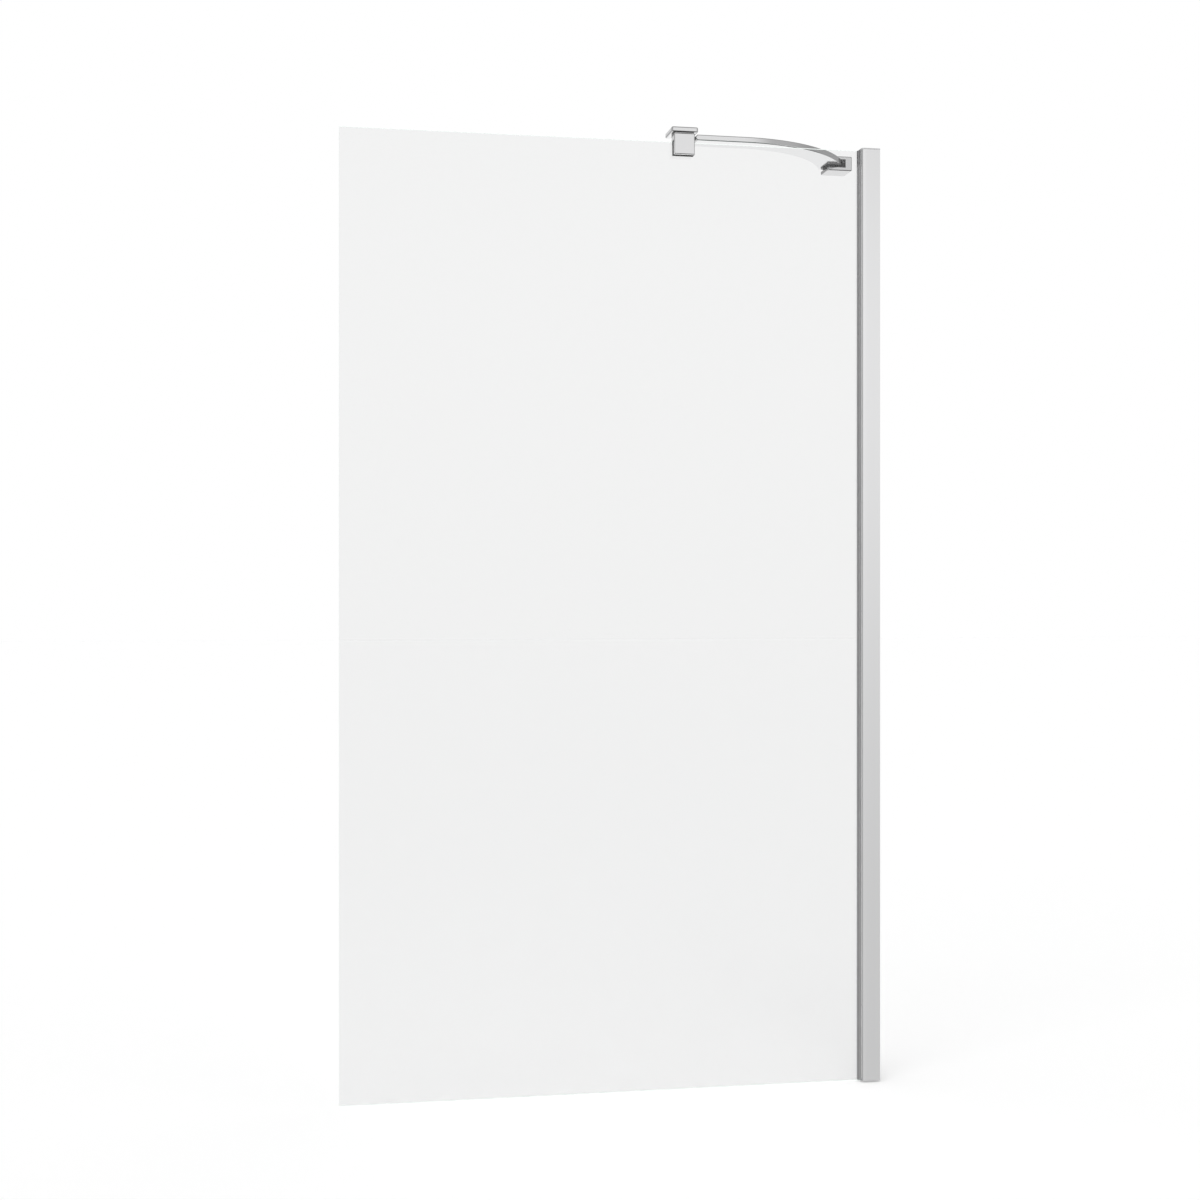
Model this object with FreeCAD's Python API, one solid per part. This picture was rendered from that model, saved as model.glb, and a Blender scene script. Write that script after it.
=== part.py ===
import FreeCAD, Part
import os
from math import asin, atan2, cos, pi, sin

from FreeCAD import Vector

# A fixed glass bath screen, in millimetres. The wall is the plane x = 0 and the glass runs along -X from it.
# The glass lies on y = 0, with the room in front at -Y and the bath behind at +Y.
# The foot of the wall channel is z = 0, and the glass stands a little below it.

# Glass sheet
screen_reach = 805.0
glass_height = 1400.0
glass_thickness = 6.0
glass_arris = 0.1
glass_drop = 2.0

# Cover profile, the extrusion that holds the glass and slides over the wall channel
profile_depth = 28.5
profile_thickness = 33.0
profile_wall = 1.6
wall_gap = 0.5
crown_width = 7.0
crown_drop = 0.9
mouth_edge_radius = 3.0
rear_mouth_setback = 3.0
pocket_depth = 16.5

# Gaskets and packers in the glass pocket
gasket_thickness = 2.2
gasket_depth = 13.0
gasket_tip = 0.7
gasket_shoulder = 7.6
gasket_shoulder_thickness = 0.9
front_lip = 3.6
rear_lip = 2.4
setting_block_thickness = 1.5
setting_block_height = 50.0
setting_block_count = 3
pocket_fit = 0.2

# Wall channel
channel_web = 2.0
channel_flange = 1.8
channel_reach = 22.5
slide_clearance = 0.3
wall_hole_radius = 2.75
wall_hole_count = 4
wall_hole_end_distance = 100.0

# Width adjustment and its lock screws
adjust_travel = 12.0
lock_count = 3
lock_end_distance = 150.0
lock_from_wall = 6.0
lock_screw_radius = 2.0
lock_screw_length = 8.5
lock_head_radius = 3.75
lock_head_height = 2.4
lock_nut_side = 6.8
lock_nut_thickness = 3.2
screw_clearance = 0.2
lock_cap_radius = 5.2
lock_cap_height = 4.0
lock_cap_wall = 0.9

# Top end cap of the profile
end_cap_plate = 2.0
end_cap_rise = 1.5
end_cap_leg = 6.0
end_cap_leg_width = 12.0
end_cap_clearance = 0.4
channel_top_gap = 1.0

# Glass clamp
clamp_from_wall = 302.0
jaw_width = 31.0
jaw_plate = 3.8
jaw_drop = 20.8
jaw_edge_radius = 1.5
front_pad_thickness = 10.2
top_pad_thickness = 1.0
saddle_depth = 16.0
bridge_width = 21.0
bridge_height = 9.4
bridge_floor = 5.0
neck_height = 1.0
neck_inset = 1.2
rear_leg_thickness = 10.0
rear_leg_drop = 15.0
rear_pad_thickness = 2.0
rear_jaw_width = 20.0
rear_jaw_top = 1.5
rear_jaw_height = 13.0
pressure_plate_thickness = 3.0
jaw_travel = 2.0
jaw_clearance = 0.2
pad_clearance = 0.1
grub_radius = 2.0
grub_length = 11.5
grub_spacing = 11.0
grub_from_top = 8.5
grub_key = 2.0
socket_depth = 2.0
running_clearance = 0.08

# Clamp cap and its pivot screw
cap_width = 40.0
cap_overhang = 3.0
cap_rear_overhang = 1.5
cap_thickness = 7.6
cap_corner_radius = 3.0
cap_top_radius = 2.0
cap_bottom_radius = 2.0
pivot_screw_radius = 2.5
pivot_screw_head_radius = 5.0
pivot_screw_depth = 9.0
pivot_screw_key = 3.0
recess_clearance = 0.8
recess_wall = 1.7
clamp_washer_thickness = 0.8
clamp_washer_radius = 6.0

# Support arm, a flat strap that is straight at the clamp and then bends to the wall
arm_width = 40.0
arm_thickness = 8.5
arm_straight = 76.5
arm_gap = 1.0
arm_set_back = 6.7
arm_end_chamfer = 3.2
arm_edge_radius = 1.6
tongue_half_width = 6.0
tongue_rise = 1.0

# Wall bracket, a fork that takes the round end of the arm
bracket_offset = 137.0
bracket_width = 38.0
eye_set_forward = 5.0
bracket_web = 10.5
ear_thickness = 4.75
ear_reach = 8.7
eye_clearance = 0.8
bracket_corner_radius = 3.0
bracket_edge_radius = 1.6
bracket_pin_radius = 3.0
bracket_pin_inset = 0.5
bracket_pin_floor = 1.2
bracket_pin_chamfer = 0.6
bracket_washer_thickness = 2.25
bracket_washer_radius = 12.0
base_plate_thickness = 4.2
base_plate_width = 23.4
base_plate_height = 14.4
base_plate_clearance = 0.3
base_hole_radius = 2.25
base_hole_spacing = 13.0
base_sink_radius = 4.3
bracket_grub_radius = 1.5
bracket_grub_key = 1.5
bracket_grub_inset = 0.5

# Places that follow from these sizes
glass_half = glass_thickness / 2
glass_top = glass_height - glass_drop
profile_half = profile_thickness / 2
profile_end = -wall_gap
mouth = profile_end - profile_depth
rear_mouth = mouth + rear_mouth_setback
pocket_half = glass_half + gasket_thickness
pocket_outside = pocket_half + profile_wall
pocket_bottom = mouth + pocket_depth
glass_edge = pocket_bottom - setting_block_thickness
skin_inside = profile_half - profile_wall
profile_top = glass_top + end_cap_rise - end_cap_plate
channel_half = skin_inside - slide_clearance
channel_inside = channel_half - channel_flange
channel_top = profile_top - end_cap_leg - channel_top_gap
wall_hole_pitch = (glass_height - 2 * wall_hole_end_distance) / (wall_hole_count - 1)
wall_hole_heights = [wall_hole_end_distance + i * wall_hole_pitch for i in range(wall_hole_count)]
lock_pitch = (glass_height - 2 * lock_end_distance) / (lock_count - 1)
lock_heights = [lock_end_distance + i * lock_pitch for i in range(lock_count)]

clamp_x = -clamp_from_wall
jaw_back = -glass_half - front_pad_thickness
jaw_front = jaw_back - jaw_plate
jaw_bottom = glass_top - jaw_drop
saddle_back = jaw_front + saddle_depth
bridge_bottom = glass_top + top_pad_thickness
bridge_top = bridge_bottom + bridge_height
cap_bottom = bridge_top + neck_height
cap_top = cap_bottom + cap_thickness
rear_pad_front = glass_half + pad_clearance
plate_front = rear_pad_front + rear_pad_thickness
plate_back = plate_front + pressure_plate_thickness
leg_front = plate_back + jaw_travel + jaw_clearance
leg_back = leg_front + rear_leg_thickness
pivot_y = leg_front + rear_leg_thickness / 2
recess_half = tongue_half_width + recess_clearance
bridge_back = pivot_y + recess_half + recess_wall
recess_floor = bridge_bottom + bridge_floor
tongue_bottom = recess_floor + clamp_washer_thickness
tongue_top = cap_bottom - clamp_washer_thickness
grub_height = glass_top - grub_from_top

arm_bottom = tongue_bottom - tongue_rise
arm_top = arm_bottom + arm_thickness
arm_middle = (arm_bottom + arm_top) / 2
arm_start = clamp_x + cap_width / 2 + arm_gap
arm_bend = arm_start + arm_straight
arm_y = pivot_y + arm_set_back
eye_x = -(bracket_web + eye_clearance + arm_width / 2)
eye_y = bracket_offset - eye_set_forward
bend_run = eye_x - arm_bend
bend_rise = eye_y - arm_y
bend_radius = (bend_run**2 + bend_rise**2) / (2 * bend_rise)
bend_angle = 2 * atan2(bend_rise, bend_run)

bracket_tip = eye_x - ear_reach
slot_half = arm_thickness / 2 + bracket_washer_thickness
bracket_half = slot_half + ear_thickness
bracket_bottom = arm_middle - bracket_half
bracket_top = arm_middle + bracket_half
pin_bottom = bracket_bottom + bracket_pin_floor

# How close an edge must lie to a plane to count as on it
on_plane = 0.001


def block(x0, x1, y0, y1, z0, z1):
    return Part.makeBox(x1 - x0, y1 - y0, z1 - z0, Vector(x0, y0, z0))


def centred_block(x, y, z, length, width, height):
    corner = Vector(x - length / 2, y - width / 2, z - height / 2)
    return Part.makeBox(length, width, height, corner)


def rod(radius, base, axis, length):
    return Part.makeCylinder(radius, length, base, axis)


def prism(points, z0, z1):
    corners = [Vector(x, y, z0) for x, y in points]
    return Part.Face(Part.makePolygon(corners + corners[:1])).extrude(Vector(0, 0, z1 - z0))


def ring(inner, outer, base, height):
    axis = Vector(0, 0, 1)
    return rod(outer, base, axis, height).cut(rod(inner, base, axis, height))


def upright_edges(shape):
    return [e for e in shape.Edges if e.BoundBox.XLength + e.BoundBox.YLength < on_plane]


def level_edges(shape, z):
    boxes = [(e, e.BoundBox) for e in shape.Edges]
    return [e for e, box in boxes if max(abs(box.ZMin - z), abs(box.ZMax - z)) < on_plane]


def hex_socket(key, bottom, axis):
    """Hole for a hexagon key of a given width across flats, from its bottom along an axis."""
    radius = key / (2 * cos(pi / 6))
    corners = [Vector(radius * cos(i * pi / 3), radius * sin(i * pi / 3), 0) for i in range(6)]
    hole = Part.Face(Part.makePolygon(corners + corners[:1])).extrude(Vector(0, 0, socket_depth))
    hole.Placement = FreeCAD.Placement(bottom, FreeCAD.Rotation(Vector(0, 0, 1), axis))
    return hole


def crowned_prism(corners, z0, z1):
    """Prism behind the profile's front skin, which an arc and a round edge ease at the mouth."""
    radius = (crown_width**2 + crown_drop**2) / (2 * crown_drop)
    half_turn = asin(crown_width / radius) / 2
    start = Vector(profile_end, -profile_half, z0)
    bend = Vector(mouth + crown_width, -profile_half, z0)
    middle = bend + Vector(-radius * sin(half_turn), radius * (1 - cos(half_turn)), 0)
    lip = Vector(mouth, crown_drop - profile_half, z0)
    crown = Part.Arc(bend, middle, lip).toShape()
    rest = Part.makePolygon([lip] + [Vector(x, y, z0) for x, y in corners] + [start, bend])
    body = Part.Face(Part.Wire([crown] + rest.Edges)).extrude(Vector(0, 0, z1 - z0))
    boxes = [(e, e.BoundBox) for e in upright_edges(body)]
    edge = [e for e, box in boxes if abs(box.XMin - lip.x) + abs(box.YMin - lip.y) < on_plane]
    return body.makeFillet(mouth_edge_radius, edge)


def glass_panel():
    sheet = block(-screen_reach, glass_edge, -glass_half, glass_half, -glass_drop, glass_top)
    rim = [e for e in sheet.Edges if e.BoundBox.YLength < on_plane]
    return sheet.makeChamfer(glass_arris, rim)


def cover_profile():
    """Two outer skins, and between them a pocket for the glass that hangs from the mouth of the profile."""
    web_back = pocket_bottom + profile_wall
    corners = [
        (mouth, -pocket_half),
        (pocket_bottom, -pocket_half),
        (pocket_bottom, pocket_half),
        (rear_mouth, pocket_half),
        (rear_mouth, profile_half),
        (profile_end, profile_half),
        (profile_end, skin_inside),
        (rear_mouth + profile_wall, skin_inside),
        (rear_mouth + profile_wall, pocket_outside),
        (web_back, pocket_outside),
        (web_back, -pocket_outside),
        (mouth + profile_wall, -pocket_outside),
        (mouth + profile_wall, -skin_inside),
        (profile_end, -skin_inside),
    ]
    body = crowned_prism(corners, 0, profile_top)
    radius = lock_screw_radius + screw_clearance
    places = [Vector(-lock_from_wall, skin_inside, z) for z in lock_heights]
    return body.cut([rod(radius, place, Vector(0, 1, 0), profile_wall) for place in places])


def wall_channel():
    section = [
        (0, -channel_half),
        (-channel_reach, -channel_half),
        (-channel_reach, -channel_inside),
        (-channel_web, -channel_inside),
        (-channel_web, channel_inside),
        (-channel_reach, channel_inside),
        (-channel_reach, channel_half),
        (0, channel_half),
    ]
    places = [Vector(-channel_web, 0, z) for z in wall_hole_heights]
    holes = [rod(wall_hole_radius, place, Vector(1, 0, 0), channel_web) for place in places]
    slots = [lock_slot(z) for z in lock_heights]
    return prism(section, 0, channel_top).cut(holes + slots)


def lock_slot(z):
    """Round-ended slot in the rear flange, as long as the width adjustment."""
    radius = lock_screw_radius + screw_clearance
    near = -lock_from_wall
    far = near - adjust_travel
    depth = Vector(0, 1, 0)
    ends = [rod(radius, Vector(x, channel_inside, z), depth, channel_flange) for x in (near, far)]
    middle = block(far, near, channel_inside, channel_half, z - radius, z + radius)
    return middle.fuse(ends).removeSplitter()


def glazing_gasket(side, lip_root, lip):
    """Wedge gasket in the pocket, whose shoulder seats on the mouth and whose lip lies on the glass."""
    inner_end = mouth + gasket_depth
    section = [
        (inner_end, side * glass_half),
        (lip_root - lip, side * glass_half),
        (lip_root - lip, side * (glass_half + gasket_tip)),
        (lip_root - gasket_shoulder_thickness, side * (pocket_half + gasket_shoulder)),
        (lip_root, side * (pocket_half + gasket_shoulder)),
        (lip_root, side * pocket_half),
        (inner_end, side * pocket_half),
    ]
    return prism(section, 0, profile_top)


def setting_blocks():
    x = (glass_edge + pocket_bottom) / 2
    width = 2 * (pocket_half - pocket_fit)
    pitch = glass_height / (setting_block_count + 1)
    blocks = [
        centred_block(x, 0, (i + 1) * pitch, setting_block_thickness, width, setting_block_height)
        for i in range(setting_block_count)
    ]
    return Part.makeCompound(blocks)


def top_end_cap():
    """Plate on the end of the profile, notched for the glass, with a plug leg on each side of the pocket."""
    notch = glass_half + end_cap_clearance
    notch_end = glass_edge + end_cap_clearance
    corners = [
        (mouth, -notch),
        (notch_end, -notch),
        (notch_end, notch),
        (rear_mouth, notch),
        (rear_mouth, profile_half),
        (profile_end, profile_half),
    ]
    plate = crowned_prism(corners, profile_top, profile_top + end_cap_plate)
    leg_bottom = profile_top - end_cap_leg
    inner = pocket_outside + pocket_fit
    outer = skin_inside - pocket_fit
    front_x = mouth + profile_wall + pocket_fit
    rear_x = rear_mouth + profile_wall + pocket_fit
    front_leg = block(front_x, front_x + end_cap_leg_width, -outer, -inner, leg_bottom, profile_top)
    rear_leg = block(rear_x, rear_x + end_cap_leg_width, inner, outer, leg_bottom, profile_top)
    return plate.fuse([front_leg, rear_leg]).removeSplitter()


def lock_screws():
    screws = []
    for z in lock_heights:
        seat = Vector(-lock_from_wall, profile_half, z)
        head = rod(lock_head_radius, seat, Vector(0, 1, 0), lock_head_height)
        rim = [e for e in head.Edges if e.BoundBox.YMin > profile_half + lock_head_height - on_plane]
        head = head.makeFillet(lock_head_height / 2, rim)
        shank = rod(lock_screw_radius, seat, Vector(0, -1, 0), lock_screw_length)
        screws.append(head.fuse(shank).removeSplitter())
    return Part.makeCompound(screws)


def lock_nuts():
    nuts = []
    for z in lock_heights:
        y = channel_inside - lock_nut_thickness / 2
        nut = centred_block(-lock_from_wall, y, z, lock_nut_side, lock_nut_thickness, lock_nut_side)
        base = Vector(-lock_from_wall, channel_inside, z)
        bore = rod(lock_screw_radius + running_clearance, base, Vector(0, -1, 0), lock_nut_thickness)
        nuts.append(nut.cut(bore))
    return Part.makeCompound(nuts)


def lock_screw_caps():
    caps = []
    for z in lock_heights:
        seat = Vector(-lock_from_wall, profile_half, z)
        shell = rod(lock_cap_radius, seat, Vector(0, 1, 0), lock_cap_height)
        rim = [e for e in shell.Edges if e.BoundBox.YMin > profile_half + lock_cap_height - on_plane]
        shell = shell.makeFillet(lock_cap_height / 2, rim)
        hollow = rod(lock_cap_radius - lock_cap_wall, seat, Vector(0, 1, 0), lock_cap_height - lock_cap_wall)
        caps.append(shell.cut(hollow))
    return Part.makeCompound(caps)


def tee_outline(inset):
    """Plan of the clamp above the glass: a wide saddle behind the front jaw and a narrower bridge."""
    wide = jaw_width / 2 - inset
    narrow = bridge_width / 2 - inset
    return [
        (clamp_x - wide, jaw_front + inset),
        (clamp_x + wide, jaw_front + inset),
        (clamp_x + wide, saddle_back - inset),
        (clamp_x + narrow, saddle_back - inset),
        (clamp_x + narrow, bridge_back - inset),
        (clamp_x - narrow, bridge_back - inset),
        (clamp_x - narrow, saddle_back - inset),
        (clamp_x - wide, saddle_back - inset),
    ]


def clamp_body():
    """Casting over the glass: front jaw, saddle, bridge and a rear leg that carries the grub screws."""
    body = prism(tee_outline(0), bridge_bottom, bridge_top)
    left = clamp_x - jaw_width / 2
    right = clamp_x + jaw_width / 2
    jaw = block(left, right, jaw_front, jaw_back, jaw_bottom, bridge_bottom)
    half = bridge_width / 2
    leg_bottom = glass_top - rear_leg_drop
    leg = block(clamp_x - half, clamp_x + half, leg_front, leg_back, leg_bottom, bridge_bottom)
    body = body.fuse([jaw, leg]).removeSplitter()
    face = [e for e in body.Edges if e.BoundBox.YMax < jaw_front + on_plane]
    body = body.makeFillet(jaw_edge_radius, face)
    body = body.fuse(prism(tee_outline(neck_inset), bridge_top, cap_bottom))
    return body.cut([tongue_recess(), pivot_hole()] + grub_holes())


def tongue_recess():
    """Slot for the arm's tongue, round at the pivot and open towards the wall."""
    depth = cap_bottom - recess_floor
    round_end = rod(recess_half, Vector(clamp_x, pivot_y, recess_floor), Vector(0, 0, 1), depth)
    front = pivot_y - recess_half
    back = pivot_y + recess_half
    run = block(clamp_x, clamp_x + bridge_width / 2, front, back, recess_floor, cap_bottom)
    return run.fuse(round_end).removeSplitter()


def pivot_hole():
    bottom = Vector(clamp_x, pivot_y, recess_floor - pivot_screw_depth - screw_clearance)
    return rod(pivot_screw_radius + running_clearance, bottom, Vector(0, 0, 1), cap_top - bottom.z)


def grub_holes():
    radius = grub_radius + running_clearance
    places = [Vector(clamp_x + side * grub_spacing / 2, leg_front, grub_height) for side in (-1, 1)]
    return [rod(radius, place, Vector(0, 1, 0), rear_leg_thickness) for place in places]


def clamp_front_pad():
    """Thick pad behind the front jaw, with a thin flap over the top edge of the glass."""
    half = jaw_width / 2
    pad = block(clamp_x - half, clamp_x + half, jaw_back, -glass_half, jaw_bottom, glass_top)
    flap_half = bridge_width / 2
    flap = block(clamp_x - flap_half, clamp_x + flap_half, jaw_back, glass_half, glass_top, bridge_bottom)
    return pad.fuse(flap).removeSplitter()


def rear_jaw_slice(front, back):
    half = rear_jaw_width / 2
    top = glass_top - rear_jaw_top
    return block(clamp_x - half, clamp_x + half, front, back, top - rear_jaw_height, top)


def clamp_grub_screws():
    screws = []
    for side in (-1, 1):
        tip = Vector(clamp_x + side * grub_spacing / 2, plate_back, grub_height)
        socket = hex_socket(grub_key, tip + Vector(0, grub_length - socket_depth, 0), Vector(0, 1, 0))
        screws.append(rod(grub_radius, tip, Vector(0, 1, 0), grub_length).cut(socket))
    return Part.makeCompound(screws)


def clamp_cap():
    half = cap_width / 2
    front = jaw_front - cap_overhang
    back = bridge_back + cap_rear_overhang
    cap = block(clamp_x - half, clamp_x + half, front, back, cap_bottom, cap_top)
    cap = cap.makeFillet(cap_corner_radius, upright_edges(cap))
    cap = cap.makeFillet(cap_top_radius, level_edges(cap, cap_top))
    cap = cap.makeFillet(cap_bottom_radius, level_edges(cap, cap_bottom))
    return cap.cut([pivot_hole(), pivot_sink(running_clearance)])


def pivot_sink(clearance):
    """Cone of the pivot screw's head, level with the top of the cap."""
    height = pivot_screw_head_radius - pivot_screw_radius
    base = Vector(clamp_x, pivot_y, cap_top - height)
    return Part.makeCone(
        pivot_screw_radius + clearance, pivot_screw_head_radius + clearance, height, base, Vector(0, 0, 1)
    )


def clamp_pivot_screw():
    bottom = Vector(clamp_x, pivot_y, recess_floor - pivot_screw_depth)
    shank = rod(pivot_screw_radius, bottom, Vector(0, 0, 1), cap_top - bottom.z)
    socket_bottom = Vector(clamp_x, pivot_y, cap_top - socket_depth)
    socket = hex_socket(pivot_screw_key, socket_bottom, Vector(0, 0, 1))
    return shank.fuse(pivot_sink(0)).cut(socket).removeSplitter()


def clamp_washers():
    bore = pivot_screw_radius + running_clearance
    return Part.makeCompound(
        [
            ring(bore, clamp_washer_radius, Vector(clamp_x, pivot_y, z), clamp_washer_thickness)
            for z in (recess_floor, tongue_top)
        ]
    )


def bend_point(radius, angle, z):
    """Point on the arm's bend, at a radius from the bend's centre and an angle from its start."""
    return Vector(arm_bend + radius * sin(angle), arm_y + bend_radius - radius * cos(angle), z)


def support_arm():
    half = arm_width / 2
    outside = bend_radius + half
    inside = bend_radius - half
    front_start = Vector(arm_start, arm_y - half, arm_bottom)
    back_start = Vector(arm_start, arm_y + half, arm_bottom)
    front = [bend_point(outside, bend_angle * share, arm_bottom) for share in (0, 0.5, 1)]
    back = [bend_point(inside, bend_angle * share, arm_bottom) for share in (1, 0.5, 0)]
    eye_tip = Vector(eye_x + half * cos(bend_angle), eye_y + half * sin(bend_angle), arm_bottom)
    edges = [
        Part.makeLine(front_start, front[0]),
        Part.Arc(*front).toShape(),
        Part.Arc(front[2], eye_tip, back[0]).toShape(),
        Part.Arc(*back).toShape(),
        Part.makeLine(back[2], back_start),
        Part.makeLine(back_start, front_start),
    ]
    strap = Part.Face(Part.Wire(edges)).extrude(Vector(0, 0, arm_thickness))
    starts = [e for e in strap.Edges if e.BoundBox.XMax < arm_start + on_plane]
    strap = strap.makeChamfer(arm_end_chamfer, [e for e in starts if e.BoundBox.YLength > half])
    rims = level_edges(strap, arm_bottom) + level_edges(strap, arm_top)
    nose = [e for e in strap.Edges if e.BoundBox.XMax < arm_start + arm_end_chamfer + on_plane]
    rims += [e for e in nose if e.BoundBox.YLength < on_plane]
    strap = strap.makeFillet(arm_edge_radius, rims)
    arm = strap.fuse(arm_tongue()).removeSplitter()
    up = Vector(0, 0, 1)
    eye_base = Vector(eye_x, eye_y, arm_bottom)
    eye = rod(bracket_pin_radius + running_clearance, eye_base, up, arm_thickness)
    return arm.cut([eye, pivot_hole()])


def arm_tongue():
    """Thinner, round-ended tongue that lies in the clamp's recess."""
    front = pivot_y - tongue_half_width
    back = pivot_y + tongue_half_width
    run = block(clamp_x, arm_start + arm_end_chamfer, front, back, tongue_bottom, tongue_top)
    base = Vector(clamp_x, pivot_y, tongue_bottom)
    return run.fuse(rod(tongue_half_width, base, Vector(0, 0, 1), tongue_top - tongue_bottom))


def wall_bracket():
    """Fork with two ears, recessed at the back over its base plate."""
    y0 = bracket_offset - bracket_width / 2
    y1 = bracket_offset + bracket_width / 2
    body = block(bracket_tip, 0, y0, y1, bracket_bottom, bracket_top)
    corners = [e for e in upright_edges(body) if e.BoundBox.XMax < bracket_tip + on_plane]
    body = body.makeFillet(bracket_corner_radius, corners)
    wall_edges = [e for e in upright_edges(body) if e.BoundBox.XMin > -on_plane]
    body = body.makeFillet(bracket_edge_radius, wall_edges)
    rims = level_edges(body, bracket_bottom) + level_edges(body, bracket_top)
    body = body.makeFillet(bracket_edge_radius, rims)
    slot = block(bracket_tip, -bracket_web, y0, y1, arm_middle - slot_half, arm_middle + slot_half)
    recess = centred_block(
        -base_plate_thickness / 2,
        bracket_offset,
        arm_middle,
        base_plate_thickness + base_plate_clearance,
        base_plate_width + 2 * base_plate_clearance,
        base_plate_height + 2 * base_plate_clearance,
    )
    up = Vector(0, 0, 1)
    pin_base = Vector(eye_x, eye_y, pin_bottom)
    pin_hole = rod(bracket_pin_radius + running_clearance, pin_base, up, bracket_top - pin_bottom)
    grub_base = Vector(-base_plate_thickness / 2, bracket_offset, arm_middle)
    grub_hole = rod(bracket_grub_radius + running_clearance, grub_base, up, bracket_half)
    return body.cut([slot, recess, pin_hole, grub_hole])


def bracket_base_plate():
    plate = centred_block(
        -base_plate_thickness / 2,
        bracket_offset,
        arm_middle,
        base_plate_thickness,
        base_plate_width,
        base_plate_height,
    )
    sink_depth = base_sink_radius - base_hole_radius
    cuts = []
    for side in (-1, 1):
        place = Vector(-base_plate_thickness, bracket_offset + side * base_hole_spacing / 2, arm_middle)
        cuts.append(rod(base_hole_radius, place, Vector(1, 0, 0), base_plate_thickness))
        cuts.append(Part.makeCone(base_sink_radius, base_hole_radius, sink_depth, place, Vector(1, 0, 0)))
    return plate.cut(cuts)


def bracket_grub_screw():
    up = Vector(0, 0, 1)
    top = bracket_top - bracket_grub_inset
    tip = Vector(-base_plate_thickness / 2, bracket_offset, arm_middle + base_plate_height / 2)
    socket_bottom = Vector(tip.x, tip.y, top - socket_depth)
    return rod(bracket_grub_radius, tip, up, top - tip.z).cut(hex_socket(bracket_grub_key, socket_bottom, up))


def bracket_pivot_pin():
    length = bracket_top - bracket_pin_inset - pin_bottom
    base = Vector(eye_x, eye_y, pin_bottom)
    pin = rod(bracket_pin_radius, base, Vector(0, 0, 1), length)
    ends = level_edges(pin, base.z) + level_edges(pin, base.z + length)
    return pin.makeChamfer(bracket_pin_chamfer, ends)


def bracket_washers():
    bore = bracket_pin_radius + running_clearance
    return Part.makeCompound(
        [
            ring(bore, bracket_washer_radius, Vector(eye_x, eye_y, z), bracket_washer_thickness)
            for z in (arm_middle - slot_half, arm_top)
        ]
    )


nodes = {
    "wall_channel": wall_channel(),
    "cover_profile": cover_profile(),
    "glass_panel": glass_panel(),
    "front_glazing_gasket": glazing_gasket(-1, mouth, front_lip),
    "rear_glazing_gasket": glazing_gasket(1, rear_mouth, rear_lip),
    "setting_blocks": setting_blocks(),
    "top_end_cap": top_end_cap(),
    "lock_screws": lock_screws(),
    "lock_nuts": lock_nuts(),
    "lock_screw_caps": lock_screw_caps(),
    "clamp_body": clamp_body(),
    "clamp_front_pad": clamp_front_pad(),
    "clamp_rear_pad": rear_jaw_slice(rear_pad_front, plate_front),
    "clamp_pressure_plate": rear_jaw_slice(plate_front, plate_back),
    "clamp_grub_screws": clamp_grub_screws(),
    "clamp_cap": clamp_cap(),
    "clamp_pivot_screw": clamp_pivot_screw(),
    "clamp_washers": clamp_washers(),
    "support_arm": support_arm(),
    "wall_bracket": wall_bracket(),
    "bracket_base_plate": bracket_base_plate(),
    "bracket_grub_screw": bracket_grub_screw(),
    "bracket_pivot_pin": bracket_pivot_pin(),
    "bracket_washers": bracket_washers(),
}

os.makedirs("parts", exist_ok=True)
for name, shape in nodes.items():
    shape.exportStep("parts/" + name + ".step")
    print(name, len(shape.Solids), shape.isValid(), round(shape.Volume))
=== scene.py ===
from math import radians

import bmesh
import bpy
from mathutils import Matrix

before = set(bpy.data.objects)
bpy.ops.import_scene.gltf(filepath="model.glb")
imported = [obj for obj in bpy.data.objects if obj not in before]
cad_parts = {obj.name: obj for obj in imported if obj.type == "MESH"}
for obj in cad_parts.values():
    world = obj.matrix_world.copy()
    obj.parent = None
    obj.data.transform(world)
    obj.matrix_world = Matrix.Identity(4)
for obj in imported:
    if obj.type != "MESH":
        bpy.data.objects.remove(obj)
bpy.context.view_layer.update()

# Wall channel: an aluminium U section, sawn to length and screwed to the wall through its web.
# It is left as it came from the press, dull grey with faint lines along its length.


def fill(tree, node, takes):
    """Gives a node's sockets plain values, or links them where the value is another node's output."""
    for socket, value in takes.items():
        if isinstance(value, bpy.types.NodeSocket):
            tree.links.new(value, node.inputs[socket])
        else:
            node.inputs[socket].default_value = value


def add(tree, kind, takes=None, **settings):
    """New node in a tree, with its settings and with what its sockets take."""
    node = tree.nodes.new("ShaderNode" + kind)
    for name, value in settings.items():
        setattr(node, name, value)
    fill(tree, node, takes or {})
    return node


def calculated(tree, operation, *terms, **settings):
    """Result of one operation on plain values or outputs of other nodes."""
    return add(tree, "Math", dict(enumerate(terms)), operation=operation, **settings).outputs[0]


def effect(name):
    """New node group for an effect that several finishes share, with its input and output nodes."""
    group = bpy.data.node_groups.new(name, "ShaderNodeTree")
    takes = {"Colour": "Color", "Tone Change": "Float", "Roughness": "Float", "Roughness Change": "Float"}
    gives = {"Colour": "Color", "Roughness": "Float", "Height": "Float"}
    for way, sockets in (("INPUT", takes), ("OUTPUT", gives)):
        for socket, kind in sockets.items():
            group.interface.new_socket(socket, in_out=way, socket_type="NodeSocket" + kind)
    return group, group.nodes.new("NodeGroupInput"), group.nodes.new("NodeGroupOutput")


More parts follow.
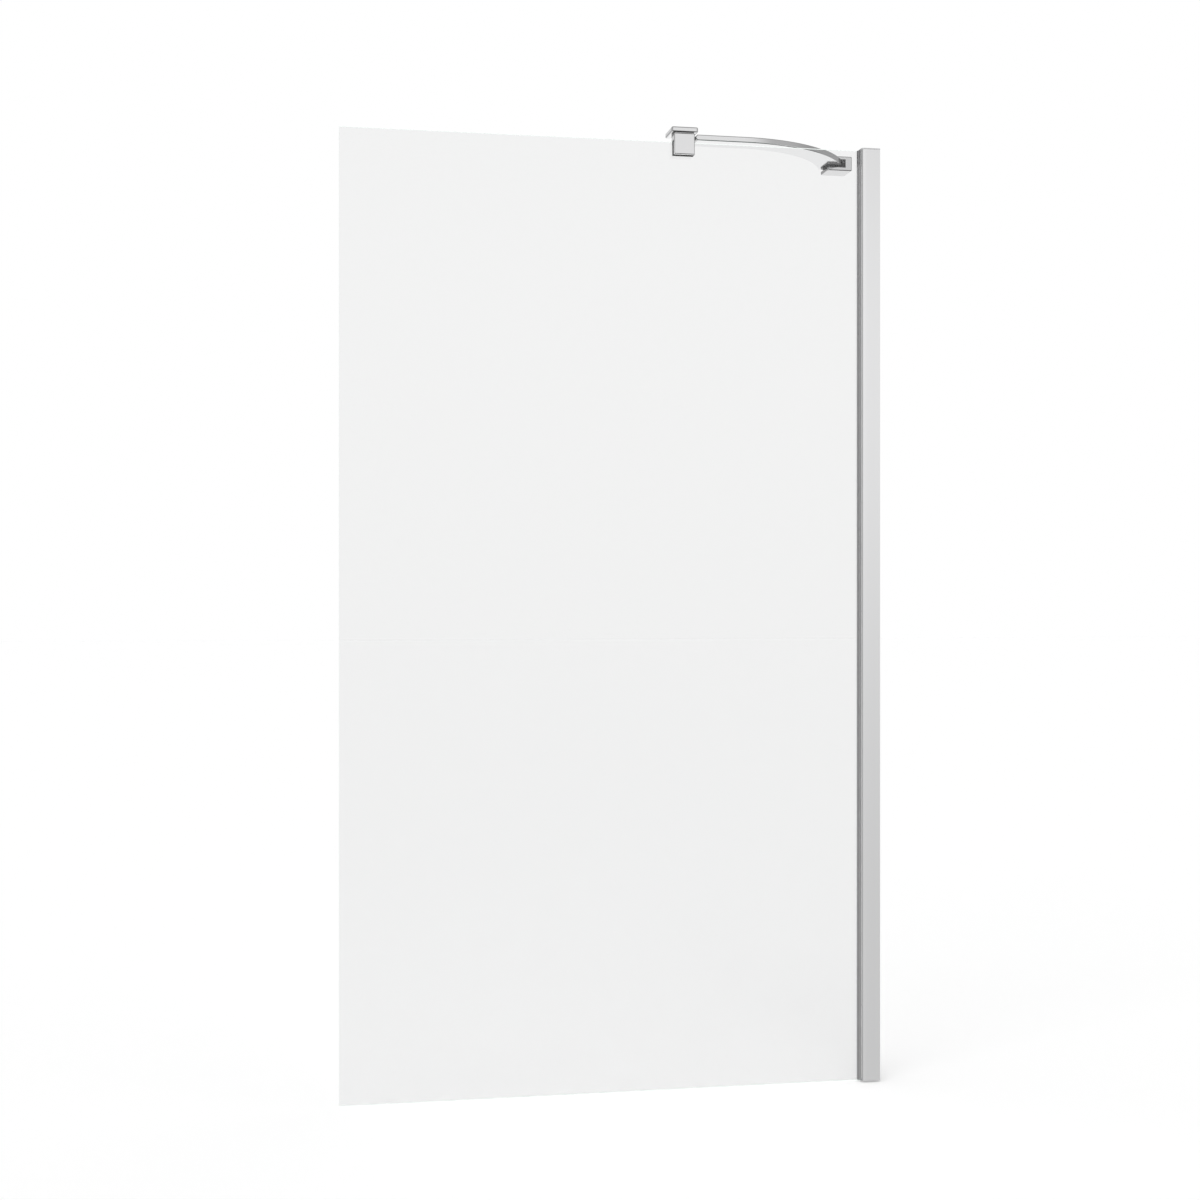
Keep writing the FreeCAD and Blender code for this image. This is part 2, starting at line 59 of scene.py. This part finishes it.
def end_effect(tree, inside, outside, pattern, height):
    """Lets a pattern that runs about a half change colour and roughness, and puts out a height."""
    takes = inside.outputs
    swing = calculated(tree, "SUBTRACT", pattern, 0.5)
    rough = calculated(tree, "MULTIPLY_ADD", swing, takes["Roughness Change"], takes["Roughness"])
    change = calculated(tree, "MULTIPLY_ADD", swing, takes["Tone Change"], 1.0)
    colour = add(tree, "VectorMath", {0: takes["Colour"], "Scale": change}, operation="SCALE")
    fill(tree, outside, {"Colour": colour.outputs[0], "Roughness": rough, "Height": height})


def stretched_coordinates(tree, scale):
    """The piece's own coordinates in metres, scaled so that a pattern gets the given run on each axis."""
    place = add(tree, "TexCoord")
    mapping = add(tree, "Mapping", {"Vector": place.outputs["Object"], "Scale": scale})
    return mapping.outputs["Vector"]


def drawn_lines():
    """Lines along Z that the die leaves on an extrusion, with a slow change of tone between them."""
    tree, inside, outside = effect("drawn lines")
    fine_run = stretched_coordinates(tree, (1800.0, 1800.0, 1.5))
    broad_run = stretched_coordinates(tree, (160.0, 160.0, 0.6))
    fine = add(tree, "TexNoise", {"Vector": fine_run, "Scale": 1.0, "Detail": 3.0, "Roughness": 0.6})
    broad = add(tree, "TexNoise", {"Vector": broad_run, "Scale": 1.0, "Detail": 2.0})
    half_broad = calculated(tree, "MULTIPLY", broad.outputs["Fac"], 0.5)
    both = calculated(tree, "MULTIPLY_ADD", fine.outputs["Fac"], 0.5, half_broad)
    end_effect(tree, inside, outside, both, fine.outputs["Fac"])
    return tree


def shade(material, takes):
    """Gives the sockets of a material's shader plain values or links."""
    tree = material.node_tree
    fill(tree, tree.nodes["Principled BSDF"], takes)


def finish(name, values):
    """New material, whose shader takes the plain values on its own sockets."""
    material = bpy.data.materials.new(name)
    material.use_nodes = True
    shade(material, values)
    return material


def patterned_finish(name, values, pattern, looks, depth):
    """New material whose colour, roughness and bump, of a depth in metres, come from a shared effect."""
    material = finish(name, values)
    tree = material.node_tree
    gives = add(tree, "Group", looks, node_tree=pattern, name="pattern").outputs
    bump = add(tree, "Bump", {"Height": gives["Height"], "Strength": 1.0, "Distance": depth})
    normal = bump.outputs["Normal"]
    shade(material, {"Base Color": gives["Colour"], "Roughness": gives["Roughness"], "Normal": normal})
    return material


def dress(material, *nodes):
    """Gives CAD nodes a finish."""
    for node in nodes:
        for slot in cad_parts[node].material_slots:
            slot.material = material


extrusion_lines = drawn_lines()
mill_aluminium = patterned_finish(
    "mill aluminium",
    {"Metallic": 1.0},
    extrusion_lines,
    {"Colour": (0.62, 0.63, 0.64, 1.0), "Tone Change": 0.25, "Roughness": 0.42, "Roughness Change": 0.25},
    depth=0.00006,
)
dress(mill_aluminium, "wall_channel")

# Cover profile: the extrusion that shows, bright anodised, with a shallow crown along its mouth.
# It slides over the wall channel, and the glass stands in the pocket between its two skins.
bright_aluminium = patterned_finish(
    "bright anodised aluminium",
    {"Metallic": 1.0},
    extrusion_lines,
    {"Colour": (0.9, 0.9, 0.905, 1.0), "Tone Change": 0.03, "Roughness": 0.21, "Roughness Change": 0.08},
    depth=0.00001,
)
dress(bright_aluminium, "cover_profile")

# Setting blocks and clamp washers: natural white nylon, which keeps glass and metal apart.
# The blocks stand between the edge of the glass and the pocket, the washers on the arm's tongue.


def even_marks(name, marks, patches):
    """Effect of even fine marks, with a slower change of tone and gloss in patches."""
    tree, inside, outside = effect(name)
    place = add(tree, "TexCoord").outputs["Object"]
    fine = add(tree, "TexNoise", {"Vector": place, **marks})
    broad = add(tree, "TexNoise", {"Vector": place, **patches})
    end_effect(tree, inside, outside, broad.outputs["Fac"], fine.outputs["Fac"])
    return tree


moulded_grain = even_marks(
    "fine grain",
    marks={"Scale": 2500.0, "Detail": 2.0, "Roughness": 0.55},
    patches={"Scale": 60.0, "Detail": 3.0},
)
white_nylon = patterned_finish(
    "natural white nylon",
    {"IOR": 1.53, "Subsurface Weight": 0.15, "Subsurface Scale": 0.002},
    moulded_grain,
    {"Colour": (0.78, 0.77, 0.73, 1.0), "Tone Change": 0.06, "Roughness": 0.45, "Roughness Change": 0.15},
    depth=0.00002,
)
dress(white_nylon, "setting_blocks", "clamp_washers")

# Glass panel: one sheet of clear toughened glass, 6 mm, with ground edges and square corners.
# Heating leaves the faintest waves in its faces, and its edges are given a faint painted glow for the light
# that runs inside the sheet.
glass_height = 1.4
# The tint is painted a little darker towards the foot of the sheet, as shade.
tint_at_top = (0.893, 0.895, 0.894, 1.0)
tint_with_painted_shade_at_foot = (0.872, 0.874, 0.873, 1.0)
shadow_tint = (0.9, 0.9, 0.9, 1.0)
# Painted glow of the ground edges, which are no lamp.
painted_edge_glow = (0.15, 0.2, 0.18, 1.0)
no_glow = (0.0, 0.0, 0.0, 1.0)
edge_roughness = 0.1
edge_facing = 0.9
face_facing = 0.99
waves_per_metre = 3.0
wave_depth = 0.00005


def separated(tree, vector):
    """The X, Y and Z of a vector."""
    return add(tree, "SeparateXYZ", {0: vector}).outputs


def ramp(tree, value, start, end, near, far, **settings):
    """A value that goes from near to far while another goes from start to end."""
    limits = {"From Min": start, "From Max": end, "To Min": near, "To Max": far}
    return add(tree, "MapRange", {"Value": value, **limits}, **settings).outputs["Result"]


def blended(tree, share, first, second):
    """A colour between two others, by a share."""
    return add(tree, "Mix", {0: share, 6: first, 7: second}, data_type="RGBA").outputs[2]


clear_glass = finish(
    "clear toughened glass", {"Transmission Weight": 1.0, "IOR": 1.5, "Emission Strength": 1.0}
)
tree = clear_glass.node_tree
place = add(tree, "TexCoord").outputs["Object"]
low = ramp(tree, separated(tree, place)["Z"], 0.0, glass_height, 1.0, 0.0)
facing = separated(tree, add(tree, "NewGeometry").outputs["Normal"])
flat = calculated(tree, "ABSOLUTE", facing["Y"])
edge = ramp(tree, flat, edge_facing, face_facing, 1.0, 0.0)
waves = add(tree, "TexNoise", {"Vector": place, "Scale": waves_per_metre, "Detail": 0.0})
bump = add(tree, "Bump", {"Height": waves.outputs["Fac"], "Strength": 1.0, "Distance": wave_depth})
shade(
    clear_glass,
    {
        "Base Color": blended(tree, low, tint_at_top, tint_with_painted_shade_at_foot),
        "Roughness": calculated(tree, "MULTIPLY", edge, edge_roughness),
        "Emission Color": blended(tree, edge, no_glow, painted_edge_glow),
        "Normal": bump.outputs["Normal"],
    },
)
in_shadow = add(tree, "LightPath").outputs["Is Shadow Ray"]
sheet = tree.nodes["Principled BSDF"].outputs[0]
clear = add(tree, "BsdfTransparent", {"Color": shadow_tint}).outputs[0]
either = add(tree, "MixShader", {0: in_shadow, 1: sheet, 2: clear})
tree.links.new(either.outputs[0], tree.nodes["Material Output"].inputs["Surface"])
dress(clear_glass, "glass_panel")

# Glazing gaskets: soft grey extrusions, pushed in on both sides of the glass from the mouth.
# The lip of each lies on the glass, and its shoulder hides the edge of the pocket.
# A line of painted shade runs along the root of the lip, where it bends, and the end below the cap is
# painted darker as shade too.
# Painted shade: a darker line along the root of the lip.
lip_root = 0.0074
lip_root_half = 0.00095
painted_shade_line_colour = (0.28, 0.28, 0.285, 1.0)
# Painted shade: the end of the lip below the cap is darker.
dark_end_from = 1.371
dark_end_full = 1.378
dark_end_reach = 0.0109
painted_end_shade_colour = (0.195, 0.195, 0.2, 1.0)
painted_end_shade_line_colour = (0.345, 0.345, 0.35, 1.0)
# Painted light: the grey glow given to the face pressed on the glass.
painted_light_on_pressed_face = (0.16, 0.16, 0.162, 1.0)
grey_gasket = patterned_finish(
    "soft grey gasket",
    {"IOR": 1.5, "Emission Strength": 1.0},
    moulded_grain,
    {"Colour": (0.376, 0.376, 0.381, 1.0), "Tone Change": 0.1, "Roughness": 0.5, "Roughness Change": 0.2},
    depth=0.00003,
)
tree = grey_gasket.node_tree
place = separated(tree, add(tree, "TexCoord").outputs["Object"])
from_middle = calculated(tree, "ABSOLUTE", place["Y"])
# Painted shade along the root of the lip.
on_root = calculated(tree, "COMPARE", from_middle, lip_root, lip_root_half)
with_painted_shade_line = blended(tree, on_root, tree.nodes["pattern"].outputs["Colour"], painted_shade_line_colour)
# Painted shade over the end of the lip below the cap, near the glass.
painted_end_shade_with_line = blended(tree, on_root, painted_end_shade_colour, painted_end_shade_line_colour)
at_end = ramp(tree, place["Z"], dark_end_from, dark_end_full, 0.0, 1.0)
near_glass = calculated(tree, "LESS_THAN", from_middle, dark_end_reach)
painted_end_shade_mask = calculated(tree, "MULTIPLY", at_end, near_glass)
# Seen through the sheet, the face pressed on the glass is met from inside, where no light falls on it, so
# it is given a painted grey glow.
from_inside = add(tree, "NewGeometry").outputs["Backfacing"]
shade(
    grey_gasket,
    {
        "Base Color": blended(tree, painted_end_shade_mask, with_painted_shade_line, painted_end_shade_with_line),
        "Emission Color": blended(tree, from_inside, no_glow, painted_light_on_pressed_face),
    },
)
dress(grey_gasket, "front_glazing_gasket", "rear_glazing_gasket")

# Top end cap and screw covers: satin grey mouldings, the cap pressed into the profile with its two legs.
# Its plate closes the profile round the glass, and the covers snap over the heads of the lock screws.
grey_plastic = patterned_finish(
    "satin grey plastic",
    {"IOR": 1.5},
    moulded_grain,
    {"Colour": (0.66, 0.66, 0.67, 1.0), "Tone Change": 0.08, "Roughness": 0.42, "Roughness Change": 0.2},
    depth=0.00003,
)
dress(grey_plastic, "top_end_cap", "lock_screw_caps")

# Screws, nuts, pressure plate, pin and base plate: stainless steel, turned or pressed.
# They lock the profile on its channel, the clamp on the glass, and the arm in its bracket.
turned_marks = even_marks(
    "tool marks",
    marks={"Scale": 900.0, "Detail": 4.0, "Roughness": 0.65},
    patches={"Scale": 110.0, "Detail": 3.0},
)
stainless_steel = patterned_finish(
    "turned stainless steel",
    {"Metallic": 1.0},
    turned_marks,
    {"Colour": (0.62, 0.61, 0.6, 1.0), "Tone Change": 0.2, "Roughness": 0.28, "Roughness Change": 0.2},
    depth=0.00002,
)
dress(
    stainless_steel,
    "lock_screws",
    "lock_nuts",
    "clamp_pressure_plate",
    "clamp_grub_screws",
    "clamp_pivot_screw",
    "bracket_base_plate",
    "bracket_grub_screw",
    "bracket_pivot_pin",
)

# Clamp pads: matte black rubber, a thick block behind the front jaw with a flap over the glass,
# and a thin sheet on the pressure plate, so that no metal touches the glass.
black_rubber = patterned_finish(
    "matte black rubber",
    {"IOR": 1.5},
    moulded_grain,
    {"Colour": (0.012, 0.012, 0.012, 1.0), "Tone Change": 0.3, "Roughness": 0.6, "Roughness Change": 0.2},
    depth=0.00004,
)
dress(black_rubber, "clamp_front_pad", "clamp_rear_pad")

# Clamp, cap and arm: a brass casting, its cover and a bent strap, all polished and chrome plated.
# The cap is screwed down on the arm's tongue, which lies in a recess of the casting.
# Painted shade: the colour chrome takes where it is seen in reflections.
painted_shade_in_reflections = (0.22, 0.22, 0.22, 1.0)


def chrome(name, colour, roughness):
    """Chrome plating, whose colour is painted dark where it shows in a reflection, as painted shade in deep
    corners and between parts.
    """
    looks = {"Colour": colour, "Tone Change": 0.01, "Roughness": roughness, "Roughness Change": 0.05}
    plating = patterned_finish(name, {"Metallic": 1.0}, turned_marks, looks, depth=0.0000005)
    tree = plating.node_tree
    path = add(tree, "LightPath").outputs
    twice = calculated(tree, "SUBTRACT", path["Is Glossy Ray"], path["Is Transmission Ray"], use_clamp=True)
    once = tree.nodes["pattern"].outputs["Colour"]
    shade(plating, {"Base Color": blended(tree, twice, once, painted_shade_in_reflections)})
    return plating


polished_chrome = chrome("polished chrome", (0.86, 0.86, 0.865, 1.0), roughness=0.1)
dress(polished_chrome, "clamp_body", "clamp_cap", "support_arm")

# Bracket washers: broad discs of black acetal, above and below the arm's round end.
# They fill the fork, so that the arm turns without marking the chrome, and their black stands in for the
# shade inside the fork.
# Their black is partly painted shade, put where the fork is in shade.
black_plastic_and_shade = patterned_finish(
    "black acetal",
    {"IOR": 1.48},
    moulded_grain,
    {"Colour": (0.02, 0.02, 0.02, 1.0), "Tone Change": 0.2, "Roughness": 0.45, "Roughness Change": 0.15},
    depth=0.00002,
)
dress(black_plastic_and_shade, "bracket_washers")

# Wall bracket: a brass casting with two ears, plated like the arm with a little more roughness, and its
# colour painted darker as shade.
# It is locked on its base plate by a grub screw, and the arm's round end turns between the ears.
# Its colour, darker than the polished chrome, is painted shade.
shaded_satin_chrome = chrome("satin chrome", (0.74, 0.74, 0.745, 1.0), roughness=0.14)
dress(shaded_satin_chrome, "wall_bracket")

# Floor: a plain pale sheet just below the foot of the screen, which takes its soft shadow.
# A little light of its own makes it white where the camera looks, straight or through the glass.
floor_half = 30.0
floor_drop = 0.003
floor_lift = 0.38
white = (1.0, 1.0, 1.0, 1.0)


def looked_at(tree):
    """1 where the camera looks, straight or through the glass, and 0 for all other light."""
    path = add(tree, "LightPath").outputs
    return calculated(tree, "MAXIMUM", path["Is Camera Ray"], path["Is Transmission Ray"])


shape = bmesh.new()
bmesh.ops.create_grid(shape, x_segments=1, y_segments=1, size=floor_half)
bmesh.ops.translate(shape, verts=shape.verts, vec=(0.0, 0.0, -floor_drop))
floor_mesh = bpy.data.meshes.new("floor")
shape.to_mesh(floor_mesh)
shape.free()
floor = bpy.data.objects.new("floor", floor_mesh)
bpy.context.scene.collection.objects.link(floor)
floor.visible_glossy = False
pale_floor = finish("pale floor", {"Base Color": (0.8, 0.8, 0.8, 1.0), "Roughness": 1.0})
tree = pale_floor.node_tree
lift = calculated(tree, "MULTIPLY", looked_at(tree), floor_lift)
shade(pale_floor, {"Specular IOR Level": 0.0, "Emission Color": white, "Emission Strength": lift})
floor_mesh.materials.append(pale_floor)

# Studio: plain and white to the camera, with one even light for all that is not glossy.
# Metal and glass mirror other tones: pale in front, white near the middle of the back, darker elsewhere.
even_light = 0.55
side_tone = 0.4
upper_front_tone = 0.835
backdrop_tone = 1.0
back_corner_tone = 0.35
below_tone = 0.03
overhead_tone = 0.33
world = bpy.data.worlds.new("studio")
world.use_nodes = True
bpy.context.scene.world = world
studio = world.node_tree
direction = separated(studio, add(studio, "TexCoord").outputs["Generated"])


def fade(axis, start, end, near, far):
    """A value that goes smoothly from near to far between two points of an axis."""
    return ramp(studio, direction[axis], start, end, near, far, interpolation_type="SMOOTHSTEP")


def zone(tone, axis, start, full, inside):
    """A tone that turns into a zone's own, from where the zone starts on an axis to where it is full."""
    share = fade(axis, start, full, 0.0, 1.0)
    return add(studio, "Mix", {0: share, 2: tone, 3: inside}).outputs[0]


low_front = fade("Z", start=-0.17, end=0.19, near=0.652, far=0.955)
front = zone(low_front, "Z", start=0.17, full=0.25, inside=upper_front_tone)
left_back = fade("X", start=-0.34, end=-0.18, near=0.3, far=0.76)
back = zone(left_back, "X", start=0.08, full=0.2, inside=backdrop_tone)
back = zone(back, "X", start=0.36, full=0.5, inside=back_corner_tone)
wall_side = fade("Y", start=-0.6, end=-0.1, near=0.48, far=0.35)
tone = zone(side_tone, "X", start=-0.7, full=0.7, inside=wall_side)
tone = zone(tone, "Y", start=-0.72, full=-0.96, inside=front)
tone = zone(tone, "Y", start=0.45, full=0.75, inside=back)
tone = zone(tone, "Z", start=-0.48, full=-0.68, inside=below_tone)
tone = zone(tone, "Z", start=0.4, full=0.75, inside=overhead_tone)
backdrop = studio.nodes["Background"]
fill(studio, backdrop, {"Color": white, "Strength": 1.0})
mirrored = add(studio, "Background", {"Color": white, "Strength": tone}).outputs[0]
ambient = add(studio, "Background", {"Color": white, "Strength": even_light}).outputs[0]
on_gloss = add(studio, "LightPath").outputs["Is Glossy Ray"]
unseen = add(studio, "MixShader", {0: on_gloss, 1: ambient, 2: mirrored}).outputs[0]
shown = add(studio, "MixShader", {0: looked_at(studio), 1: unseen, 2: backdrop.outputs[0]})
studio.links.new(shown.outputs[0], studio.nodes["World Output"].inputs["Surface"])

# Key light: one broad soft lamp from the front, left and above.
# It gives the shadow on the floor, and metal doesn't mirror it.
key_data = bpy.data.lights.new("key", "SUN")
key_data.energy = 1.0
key_data.angle = radians(45.0)
key = bpy.data.objects.new("key", key_data)
key.rotation_euler = (radians(45.0), 0.0, radians(-30.0))
key.visible_glossy = False
bpy.context.scene.collection.objects.link(key)

# Camera: level with the middle of the screen, left of its free edge, and turned a little to the right.
# Its place and lens come from the perspective of the glass, the profile and the fittings.
camera_data = bpy.data.cameras.new("camera")
camera_data.sensor_width = 36.0
camera_data.lens = 54.0
camera = bpy.data.objects.new("camera", camera_data)
camera.location = (-0.9138, -2.5962, 0.7213)
camera.rotation_euler = (radians(90.0), 0.0, radians(-10.65))
bpy.context.scene.collection.objects.link(camera)
bpy.context.scene.camera = camera
bpy.context.scene.view_settings.view_transform = "Standard"
